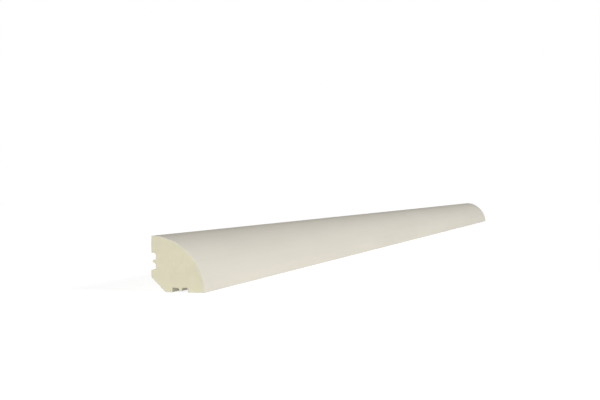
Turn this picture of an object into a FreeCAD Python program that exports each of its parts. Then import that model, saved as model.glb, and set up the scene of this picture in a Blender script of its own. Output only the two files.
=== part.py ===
import FreeCAD, Part
import math
import os

# Quarter round moulding: one straight length of stock, lying on its under seat.
# X runs along the length, the show face looks to -Y, the back seat faces +Y and Z is up.
# The origin is under the middle of the piece. Sizes are in millimetres.

# Stock
stock_length = 900.0
section_leg = 19.0  # height and depth of the section

# Show face: a slightly flattened quarter circle that ends in a narrow square land on each side
edge_land = 0.4
face_flattening = 0.4  # from a true quarter circle to the middle of the face

# Seats: the hidden corner is cut off, and each seat has two slots with a rib between them
corner_chamfer = 5.1
inner_land = 2.4  # from the chamfer to the first slot
slot_width = 2.4
slot_depth = 1.6
rib_width = 0.9
rib_setback = 0.5  # from the seat to the tip of the rib

# Corner radii
arris_radius = 0.2  # outer edges and the rib's tip
slot_near_radius = 0.2  # slot corner towards the hidden corner
slot_far_radius = 0.85  # slot corner towards the show face

# Stations along a seat, measured from the hidden corner
first_slot = corner_chamfer + inner_land
rib_start = first_slot + slot_width
second_slot = rib_start + rib_width
outer_land = second_slot + slot_width

# The show face fills what the lands leave, and a slot's fillet stays within the rib's side
face_radius = section_leg - edge_land
rib_height = slot_depth - rib_setback
far_fillet = min(slot_far_radius, rib_height - arris_radius)


def seat_corners():
    # One seat from the chamfer to the show edge: place along the seat, depth into the stock, radius
    return [
        (corner_chamfer, 0.0, arris_radius),
        (first_slot, 0.0, arris_radius),
        (first_slot, slot_depth, slot_near_radius),
        (rib_start, slot_depth, far_fillet),
        (rib_start, rib_setback, arris_radius),
        (second_slot, rib_setback, arris_radius),
        (second_slot, slot_depth, slot_near_radius),
        (outer_land, slot_depth, far_fillet),
        (outer_land, 0.0, arris_radius),
        (section_leg, 0.0, arris_radius),
    ]


def end_point(from_back, height):
    # A point of the section at the end where the stock starts
    return FreeCAD.Vector(-stock_length / 2, section_leg / 2 - from_back, height)


def section_corners():
    # Up the back seat, over the show face and back along the under seat, which mirrors the back
    back = [(end_point(depth, along), radius, 0.0) for along, depth, radius in seat_corners()]
    show = [(end_point(section_leg, section_leg), face_radius, face_flattening)]
    under = [(end_point(along, depth), radius, 0.0) for along, depth, radius in seat_corners()]
    return back + show + under[::-1]


def rounded_corner(before, corner, after, radius, flattening):
    # The arc that rounds one corner of an outline: where it starts, its middle and where it ends.
    # It is tangent to both sides, unless flattening draws its middle further in
    to_before = (before - corner).normalize()
    to_after = (after - corner).normalize()
    half_angle = to_before.getAngle(to_after) / 2
    reach = radius / math.tan(half_angle)
    inward = (to_before + to_after).normalize()
    middle = corner + inward * (radius / math.sin(half_angle) - radius + flattening)
    return corner + to_before * reach, middle, corner + to_after * reach


def rounded_outline(corners):
    # A closed wire of straight runs joined by arcs; a run that its two arcs use up is left out
    points, radii, flattenings = zip(*corners)
    befores = points[-1:] + points[:-1]
    afters = points[1:] + points[:1]
    arcs = [rounded_corner(*corner) for corner in zip(befores, points, afters, radii, flattenings)]
    edges = []
    for arc, next_arc in zip(arcs, arcs[1:] + arcs[:1]):
        edges.append(Part.Arc(*arc).toShape())
        if not arc[2].isEqual(next_arc[0], Part.Precision.confusion()):
            edges.append(Part.LineSegment(arc[2], next_arc[0]).toShape())
    return Part.Wire(edges)


section = Part.Face(rounded_outline(section_corners()))
quarter_round = section.extrude(FreeCAD.Vector(stock_length, 0, 0))

os.makedirs("parts", exist_ok=True)
quarter_round.exportStep("parts/quarter_round.step")

box = quarter_round.BoundBox
print("valid", quarter_round.isValid(), "solids", len(quarter_round.Solids))
print("box", box.XLength, box.YLength, box.ZLength, "floor", box.ZMin)
print("volume", quarter_round.Volume, "section", section.Area)
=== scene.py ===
import bmesh
import bpy
import math
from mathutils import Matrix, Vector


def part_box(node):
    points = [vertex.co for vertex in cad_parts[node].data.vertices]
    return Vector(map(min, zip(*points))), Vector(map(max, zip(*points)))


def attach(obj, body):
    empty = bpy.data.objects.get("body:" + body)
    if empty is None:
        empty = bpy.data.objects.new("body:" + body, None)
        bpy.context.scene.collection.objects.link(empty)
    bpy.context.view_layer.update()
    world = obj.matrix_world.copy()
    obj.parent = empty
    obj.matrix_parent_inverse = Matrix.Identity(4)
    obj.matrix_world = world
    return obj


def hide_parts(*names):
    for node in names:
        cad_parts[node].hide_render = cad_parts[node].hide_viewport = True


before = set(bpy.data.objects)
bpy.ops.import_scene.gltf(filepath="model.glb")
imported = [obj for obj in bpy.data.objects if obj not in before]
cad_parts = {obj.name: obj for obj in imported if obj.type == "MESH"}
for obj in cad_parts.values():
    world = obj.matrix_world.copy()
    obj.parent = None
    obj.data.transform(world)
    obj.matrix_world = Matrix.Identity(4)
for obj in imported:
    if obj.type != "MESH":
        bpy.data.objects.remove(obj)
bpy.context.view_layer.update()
mm = 0.001
stockNode = "quarter_round"
low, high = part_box(stockNode)
stockLength = high.x - low.x
sectionLeg = high.z - low.z
print("frame loaded, stock length", round(stockLength / mm, 1), "mm")


class Wire:
    # an output socket: arithmetic on it adds Math nodes, and node() adds any other node to its tree
    def __init__(self, socket):
        self.socket = socket

    def node(self, kind, settings, sockets, output=0):
        tree = self.socket.id_data
        made = tree.nodes.new(kind)
        for name, value in settings.items():
            setattr(made, name, value)
        for key, value in sockets.items():
            if isinstance(value, Wire):
                tree.links.new(value.socket, made.inputs[key])
            else:
                made.inputs[key].default_value = value
        return Wire(made.outputs[output])

    def math(self, operation, first, second):
        return self.node("ShaderNodeMath", {"operation": operation}, {0: first, 1: second})

    def __add__(self, other):
        return self.math("ADD", self, other)

    def __radd__(self, other):
        return self.math("ADD", other, self)

    def __sub__(self, other):
        return self.math("SUBTRACT", self, other)

    def __rsub__(self, other):
        return self.math("SUBTRACT", other, self)

    def __mul__(self, other):
        return self.math("MULTIPLY", self, other)

    def __rmul__(self, other):
        return self.math("MULTIPLY", other, self)

    def stretched(self, scale):
        return self.node("ShaderNodeMapping", {}, {"Vector": self, "Scale": scale})

    def noise(self, grain, detail=2.0, roughness=0.5):
        # grain is the size of one blotch in metres; the value swings about zero
        sockets = {"Vector": self, "Scale": 1 / grain, "Detail": detail, "Roughness": roughness}
        return self.node("ShaderNodeTexNoise", {}, sockets) - 0.5

    def band(self, start, end):
        # 0 below start, 1 above end, smooth between them
        sockets = {"Value": self, "From Min": start, "From Max": end}
        return self.node("ShaderNodeMapRange", {"interpolation_type": "SMOOTHSTEP"}, sockets)

    def tint(self, first, second):
        # first where the wire is 0, second where it is 1
        sockets = {"Factor": self, 6: first, 7: second}
        return self.node("ShaderNodeMix", {"data_type": "RGBA"}, sockets, output=2)


def newMaterial(name):
    material = bpy.data.materials.new(name)
    material.use_nodes = True
    tree = material.node_tree
    shader = tree.nodes["Principled BSDF"]
    coords = tree.nodes.new("ShaderNodeTexCoord")
    return material, shader, Wire(coords.outputs["Object"])


def plug(shader, name, wire):
    shader.id_data.links.new(wire.socket, shader.inputs[name])


def shade(colour, level):
    return (*(channel * level for channel in colour), 1.0)


def swing(tone, colour, share):
    # the colour, darker and lighter by this share as the tone swings about zero
    return (tone + 0.5).tint(shade(colour, 1 - share), shade(colour, 1 + share))


def finishSurface(shader, look, grain, relief):
    plug(shader, "Roughness", look["roughness"] + look["roughSwing"] * grain)
    sockets = {"Height": relief, "Distance": look["reliefDepth"], "Strength": 1.0}
    plug(shader, "Normal", relief.node("ShaderNodeBump", {}, sockets))
    shader.inputs["Specular IOR Level"].default_value = look["specular"]


filmLook = {
    "colour": (0.735, 0.698, 0.614),  # off-white
    "toneSwing": 0.05,
    "toneGrain": 14 * mm,
    "toneStretch": 1 / 6,
    "drawLine": 0.9 * mm,  # width of the faint lines along the length
    "drawStretch": 1 / 250,
    "drawDetail": 3.0,
    "drawTone": 0.5,  # share of the lines in the tone
    "drawRelief": 0.3,  # and in the relief
    "peelGrain": 1.1 * mm,  # dimples of the satin surface
    "peelDetail": 1.0,
    "reliefDepth": 0.02 * mm,
    "roughness": 0.7,
    "roughSwing": 0.12,
    "specular": 0.04,
}


def makeFilm(look):
    material, shader, place = newMaterial("satinFilm")
    lines = place.stretched((look["drawStretch"], 1, 1)).noise(look["drawLine"], look["drawDetail"])
    clouds = place.stretched((look["toneStretch"], 1, 1)).noise(look["toneGrain"])
    dimples = place.noise(look["peelGrain"], look["peelDetail"])
    tone = clouds + lines * look["drawTone"]
    plug(shader, "Base Color", swing(tone, look["colour"], look["toneSwing"]))
    finishSurface(shader, look, lines, dimples + lines * look["drawRelief"])
    return material


coreLook = {
    "toneSwing": 0.07,
    "toneGrain": 4 * mm,
    "fibreGrain": 0.3 * mm,
    "fibreDetail": 4.0,
    "fibreSharpness": 0.7,
    "fibreTone": 0.7,  # share of the fibres in the tone
    "fibreRelief": 0.4,  # and in the relief
    "fleckBand": (0.16, 0.30),  # where fibres turn into flecks
    "fleckLevel": 0.84,  # darker fibres, against the body
    "trackTone": 0.3,
    "trackBand": (0.17, 0.27),  # where tool marks turn into tracks
    "reliefDepth": 0.02 * mm,
    "roughness": 0.78,
    "roughSwing": 0.15,
    "specular": 0.05,
}


def makeCore(look, name, tool, marks):
    material, shader, place = newMaterial(name)
    colour = tool["colour"]
    fibre = place.noise(look["fibreGrain"], look["fibreDetail"], look["fibreSharpness"])
    tracks = marks(place, tool)
    tone = place.noise(look["toneGrain"]) + fibre * look["fibreTone"] + tracks * look["trackTone"]
    body = swing(tone, colour, look["toneSwing"])
    flecked = fibre.band(*look["fleckBand"]).tint(body, shade(colour, look["fleckLevel"]))
    grooved = (0 - tracks).band(*look["trackBand"]).tint(flecked, shade(colour, tool["grooveLevel"]))
    tracked = tracks.band(*look["trackBand"]).tint(grooved, shade(colour, tool["trackLevel"]))
    plug(shader, "Base Color", tracked)
    finishSurface(shader, look, fibre, tracks + fibre * look["fibreRelief"])
    return material


sawCut = {
    "colour": (0.705, 0.671, 0.504),  # pale cream
    "trackLevel": 1.12,  # pale tracks, against the colour
    "grooveLevel": 0.88,  # dark ones
    "width": 0.35 * mm,
    "length": 3.0 * mm,  # of one track, up the end
}


def sawMarks(place, tool):
    return place.stretched((1, 1, tool["width"] / tool["length"])).noise(tool["width"])


cutter = {
    "colour": (0.80, 0.775, 0.63),  # paler than the cross cut: partly the planed face, partly painted light that brightens the shaded slots
    "trackLevel": 1.04,
    "grooveLevel": 0.95,
    "width": 0.5 * mm,
    "length": 120 * mm,  # of one track, along the seat
    "ripple": 1.6 * mm,  # from one knife mark to the next
    "rippleShare": 0.15,
}


def cutterMarks(place, tool):
    tracks = place.stretched((tool["width"] / tool["length"], 1, 1)).noise(tool["width"])
    plainBand = math.pi / 10  # length of one band of the wave at scale 1
    sockets = {"Vector": place, "Scale": plainBand / tool["ripple"]}
    ripple = place.node("ShaderNodeTexWave", {"bands_direction": "X"}, sockets, output=1) - 0.5
    return tracks + ripple * tool["rippleShare"]


film = makeFilm(filmLook)
sawnEnd = makeCore(coreLook, "sawnEnd", sawCut, sawMarks)
# the seats' paler colour is partly painted light, lifting the shade inside the slots
milledSeat = makeCore(coreLook, "milledSeat", cutter, cutterMarks)
print("finishes made")

moulding = {
    "edgeLand": 0.4 * mm,  # square land at each end of the show face
    "faceFlattening": 0.4 * mm,  # from a true quarter circle to the middle of the show face
    "cornerChamfer": 5.1 * mm,
    "innerLand": 2.4 * mm,  # from the chamfer to the first slot
    "slotWidth": 2.4 * mm,
    "slotDepth": 1.6 * mm,
    "ribWidth": 0.9 * mm,
    "ribSetback": 0.5 * mm,
    "arrisRadius": 0.2 * mm,
    "slotNearRadius": 0.2 * mm,  # slot corner towards the chamfer
    "slotFarRadius": 0.85 * mm,  # slot corner towards the show face
    "faceSegments": 72,
    "filletSegments": 6,
    "arrisSegments": 4,
    "chamferSegments": 2,  # on the chamfer's own edges
    "cutEase": 0.05 * mm,  # softened edge of the cross cut
    "easeSegments": 2,
    "filmEdge": 0.1 * mm,  # film seen edge on round the ends
    "straightAngle": math.radians(1),  # a run that turns less is straight
    "smoothAngle": math.radians(32),
    "weld": 0.002 * mm,
    "mapName": "OFBake",  # UV map to bake the finishes through
    "mapAngle": 1.15,  # radians, between the long faces of one island
    "mapEnd": 0.2,  # share of its width for the ends
    "mapGap": 0.004,
}
firstSlot = moulding["cornerChamfer"] + moulding["innerLand"]
ribStart = firstSlot + moulding["slotWidth"]
secondSlot = ribStart + moulding["ribWidth"]
outerLand = secondSlot + moulding["slotWidth"]


def seatPlace(point):
    return high.y - point.y, point.z - low.z  # distance from the back seat, height over the under seat


def pick(kind, test):
    # selects the verts, edges or faces of the mesh in edit mode that pass the test
    bpy.ops.mesh.select_mode(type=kind)
    bpy.ops.mesh.select_all(action="DESELECT")
    mesh = bmesh.from_edit_mesh(bpy.context.object.data)
    for part in {"VERT": mesh.verts, "EDGE": mesh.edges, "FACE": mesh.faces}[kind]:
        if test(part):
            part.select_set(True)
    bmesh.update_edit_mesh(bpy.context.object.data)


def roundCorners(places, reach, segments, flattening=0.0):
    # bevels the section's corners at these places, on both seats
    both = [spot for along, depth in places for spot in ((along, depth), (depth, along))]

    def atCorner(vert):
        return any(math.dist(seatPlace(vert.co), spot) < moulding["weld"] for spot in both)

    pick("VERT", atCorner)
    profile = 0.5 * (1 - flattening / reach) ** 2  # 0.5 is round
    bpy.ops.mesh.bevel(
        offset=reach, segments=segments, profile=profile, affect="VERTICES", clamp_overlap=False)


def inSlots(along, depth):
    slots = firstSlot < along < outerLand and depth < moulding["slotDepth"]
    rib = ribStart < along < secondSlot and depth > moulding["ribSetback"]
    return slots and not rib


def drawSection(sizes):
    bpy.ops.object.select_all(action="DESELECT")
    middle = (low.x, (low.y + high.y) / 2, (low.z + high.z) / 2)
    bpy.ops.mesh.primitive_plane_add(size=sectionLeg, location=middle, rotation=(0, -math.pi / 2, 0))
    piece = bpy.context.object
    piece.name = "quarterRound"
    bpy.ops.object.transform_apply(location=True, rotation=True, scale=True)
    bpy.ops.object.mode_set(mode="EDIT")
    for place in (sizes["ribSetback"], sizes["slotDepth"], firstSlot, ribStart, secondSlot, outerLand):
        for point, normal in (((0, high.y - place, 0), (0, 1, 0)), ((0, 0, low.z + place), (0, 0, 1))):
            bpy.ops.mesh.select_all(action="SELECT")
            bpy.ops.mesh.bisect(plane_co=point, plane_no=normal, threshold=sizes["weld"])

    def slotCell(face):
        fromBack, height = seatPlace(face.calc_center_median())
        return inSlots(fromBack, height) or inSlots(height, fromBack)

    pick("FACE", slotCell)
    bpy.ops.mesh.delete(type="FACE")
    bpy.ops.mesh.select_all(action="SELECT")
    bpy.ops.mesh.dissolve_faces()
    pick("VERT", lambda vert: vert.calc_edge_angle() < sizes["straightAngle"])
    bpy.ops.mesh.dissolve_verts()
    return piece


def roundSection(sizes):
    chamfer, depth, tip = sizes["cornerChamfer"], sizes["slotDepth"], sizes["ribSetback"]
    chamferTurn = math.radians(45)
    chamferReach = sizes["arrisRadius"] * math.tan(chamferTurn / 2)
    faceReach = sectionLeg - sizes["edgeLand"]
    arrises = [(firstSlot, 0), (outerLand, 0), (sectionLeg, 0), (ribStart, tip), (secondSlot, tip)]
    slotNear = [(firstSlot, depth), (secondSlot, depth)]
    slotFar = [(ribStart, depth), (outerLand, depth)]
    showFace = [(sectionLeg, sectionLeg)]
    roundCorners([(0, 0)], chamfer, 1)
    roundCorners([(chamfer, 0)], chamferReach, sizes["chamferSegments"])
    roundCorners(arrises, sizes["arrisRadius"], sizes["arrisSegments"])
    roundCorners(slotNear, sizes["slotNearRadius"], sizes["arrisSegments"])
    roundCorners(slotFar, sizes["slotFarRadius"], sizes["filletSegments"])
    roundCorners(showFace, faceReach, sizes["faceSegments"], sizes["faceFlattening"])


def atEnd(part):
    xs = [vert.co.x for vert in part.verts]
    return max(xs) < low.x + moulding["weld"] or min(xs) > high.x - moulding["weld"]


def cutLength(sizes):
    bpy.ops.mesh.select_all(action="SELECT")
    bpy.ops.mesh.extrude_region_move(TRANSFORM_OT_translate={"value": (stockLength, 0, 0)})
    bpy.ops.mesh.select_all(action="SELECT")
    bpy.ops.mesh.normals_make_consistent(inside=False)
    pick("EDGE", atEnd)
    bpy.ops.mesh.bevel(
        offset=sizes["cutEase"], segments=sizes["easeSegments"], affect="EDGES", clamp_overlap=False)
    pick("FACE", atEnd)
    bpy.ops.mesh.inset(thickness=sizes["filmEdge"])


def finishMoulding(piece, sizes):
    finishes = (film, sawnEnd, milledSeat)
    mesh = bmesh.from_edit_mesh(piece.data)
    for face in mesh.faces:
        middle = face.calc_center_median()
        wrapped = max(seatPlace(middle)) > outerLand + sizes["weld"] and not face.select
        finish = film if wrapped else sawnEnd if atEnd(face) else milledSeat
        face.material_index = finishes.index(finish)
    bmesh.update_edit_mesh(piece.data)
    bpy.ops.object.mode_set(mode="OBJECT")
    for material in finishes:
        piece.data.materials.append(material)
    bpy.ops.object.shade_smooth_by_angle(angle=sizes["smoothAngle"])
    bpy.ops.object.modifier_add(type="WEIGHTED_NORMAL")
    piece.modifiers[0].keep_sharp = True
    bpy.ops.object.modifier_apply(modifier=piece.modifiers[0].name)


def layOutMap(piece, sizes):
    # the long faces stand side by side, and each end has a square of its own, as its marks are finer
    piece.data.uv_layers[0].name = sizes["mapName"]
    bpy.ops.object.mode_set(mode="EDIT")
    pick("FACE", lambda face: not atEnd(face))
    bpy.ops.uv.smart_project(
        angle_limit=sizes["mapAngle"], island_margin=sizes["mapGap"], scale_to_bounds=True)
    mesh = bmesh.from_edit_mesh(piece.data)
    layer = mesh.loops.layers.uv[sizes["mapName"]]
    square = sizes["mapEnd"] - 2 * sizes["mapGap"]
    for face in mesh.faces:
        for loop in face.loops:
            if atEnd(face):
                fromBack, height = (along / sectionLeg * square for along in seatPlace(loop.vert.co))
                row = 0 if loop.vert.co.x < 0 else sizes["mapEnd"]
                loop[layer].uv = 1 - sizes["mapGap"] - fromBack, row + sizes["mapGap"] + height
            else:
                loop[layer].uv.x *= 1 - sizes["mapEnd"] - sizes["mapGap"]
    bmesh.update_edit_mesh(piece.data)
    bpy.ops.object.mode_set(mode="OBJECT")


quarterRound = drawSection(moulding)
roundSection(moulding)
cutLength(moulding)
finishMoulding(quarterRound, moulding)
layOutMap(quarterRound, moulding)
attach(quarterRound, "root")
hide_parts(stockNode)
print("moulding made,", len(quarterRound.data.polygons), "faces")

stageLook = {
    "floorSize": 6.0,
    "floorColour": (0.85, 0.85, 0.85, 1.0),
    "floorGlow": 0.6,  # share of plain white in what the camera sees of the floor round the piece
    "glowLevel": 1.45,  # of that white, so that it and the lit floor make 1 together
    "fadeStart": 0.8,  # from here the shadow fades, and at the end the floor is plain white at 1
    "fadeEnd": 1.8,
    "ambient": 0.18,
}


def seenWhite(tree):
    # 1 for rays that show the background itself: seen, mirrored or through glass
    path = tree.nodes.new("ShaderNodeLightPath")
    rays = ("Is Camera Ray", "Is Glossy Ray", "Is Transmission Ray")
    camera, glossy, through = (Wire(path.outputs[ray]) for ray in rays)
    return camera.math("MAXIMUM", camera.math("MAXIMUM", camera, glossy), through)


def makeFloor(look):
    bpy.ops.object.select_all(action="DESELECT")
    bpy.ops.mesh.primitive_plane_add(size=look["floorSize"], location=(0, 0, low.z))
    floor = bpy.context.object
    floor.name = "studioFloor"
    material = bpy.data.materials.new("studioFloor")
    material.use_nodes = True
    tree = material.node_tree
    tree.nodes.remove(tree.nodes["Principled BSDF"])
    seen = seenWhite(tree)
    place = Wire(tree.nodes.new("ShaderNodeTexCoord").outputs["Object"])
    away = place.node("ShaderNodeVectorMath", {"operation": "LENGTH"}, {0: place}, output="Value")
    fade = away.band(look["fadeStart"], look["fadeEnd"])
    white = look["floorGlow"] + (1 - look["floorGlow"]) * fade
    level = look["glowLevel"] + (1 - look["glowLevel"]) * fade
    matt = seen.node("ShaderNodeBsdfDiffuse", {}, {"Color": look["floorColour"]})
    glow = seen.node("ShaderNodeEmission", {}, {"Color": level})
    mixed = seen.node("ShaderNodeMixShader", {}, {0: seen * white, 1: matt, 2: glow})
    tree.links.new(mixed.socket, tree.nodes["Material Output"].inputs["Surface"])
    floor.data.materials.append(material)


def makeWorld(look):
    world = bpy.data.worlds.new("studio")
    world.use_nodes = True
    bpy.context.scene.world = world
    tree = world.node_tree
    seen = seenWhite(tree)
    level = look["ambient"] + seen * (1 - look["ambient"])
    tree.nodes["Background"].inputs["Color"].default_value = (1.0, 1.0, 1.0, 1.0)
    tree.links.new(level.socket, tree.nodes["Background"].inputs["Strength"])


softboxes = {
    "sideBox": {"place": (-5.07, -1.84, 0.28), "width": 0.5, "height": 0.5, "power": 172.0},
    "keyBox": {"place": (-0.6, -4.2, 2.2), "width": 1.8, "height": 1.0, "power": 114.0},
    "backBox": {"place": (2.6, 4.0, 0.36), "width": 2.4, "height": 0.7, "power": 165.0},
}


def addSoftbox(name, look):
    # an upright panel that faces the middle of the piece
    bpy.ops.object.select_all(action="DESELECT")
    x, y, z = look["place"]
    turn = (math.atan2(math.hypot(x, y), z), 0, math.atan2(y, x) + math.pi / 2)
    bpy.ops.object.light_add(type="AREA", location=look["place"], rotation=turn)
    lamp = bpy.context.object
    lamp.name = name
    lamp.data.shape = "RECTANGLE"
    lamp.data.size = look["width"]
    lamp.data.size_y = look["height"]
    lamp.data.energy = look["power"]


view = {
    "eye": (-833.0 * mm, -142.2 * mm, 35.11 * mm),
    "turn": 14.607,  # degrees from the length towards the back
    "dip": 0.57,  # degrees below level
    "lens": 72.72,
    "clipStart": 1 * mm,
}


def addCamera(look):
    bpy.ops.object.select_all(action="DESELECT")
    turn = (math.radians(90 - look["dip"]), 0, math.radians(look["turn"] - 90))
    bpy.ops.object.camera_add(location=look["eye"], rotation=turn)
    camera = bpy.context.object
    camera.name = "photoView"
    camera.data.lens = look["lens"]
    camera.data.clip_start = look["clipStart"]
    bpy.context.scene.camera = camera


makeFloor(stageLook)
makeWorld(stageLook)
for boxName, boxLook in softboxes.items():
    addSoftbox(boxName, boxLook)
addCamera(view)
bpy.context.scene.view_settings.view_transform = "Standard"
print("stage, light and camera set")
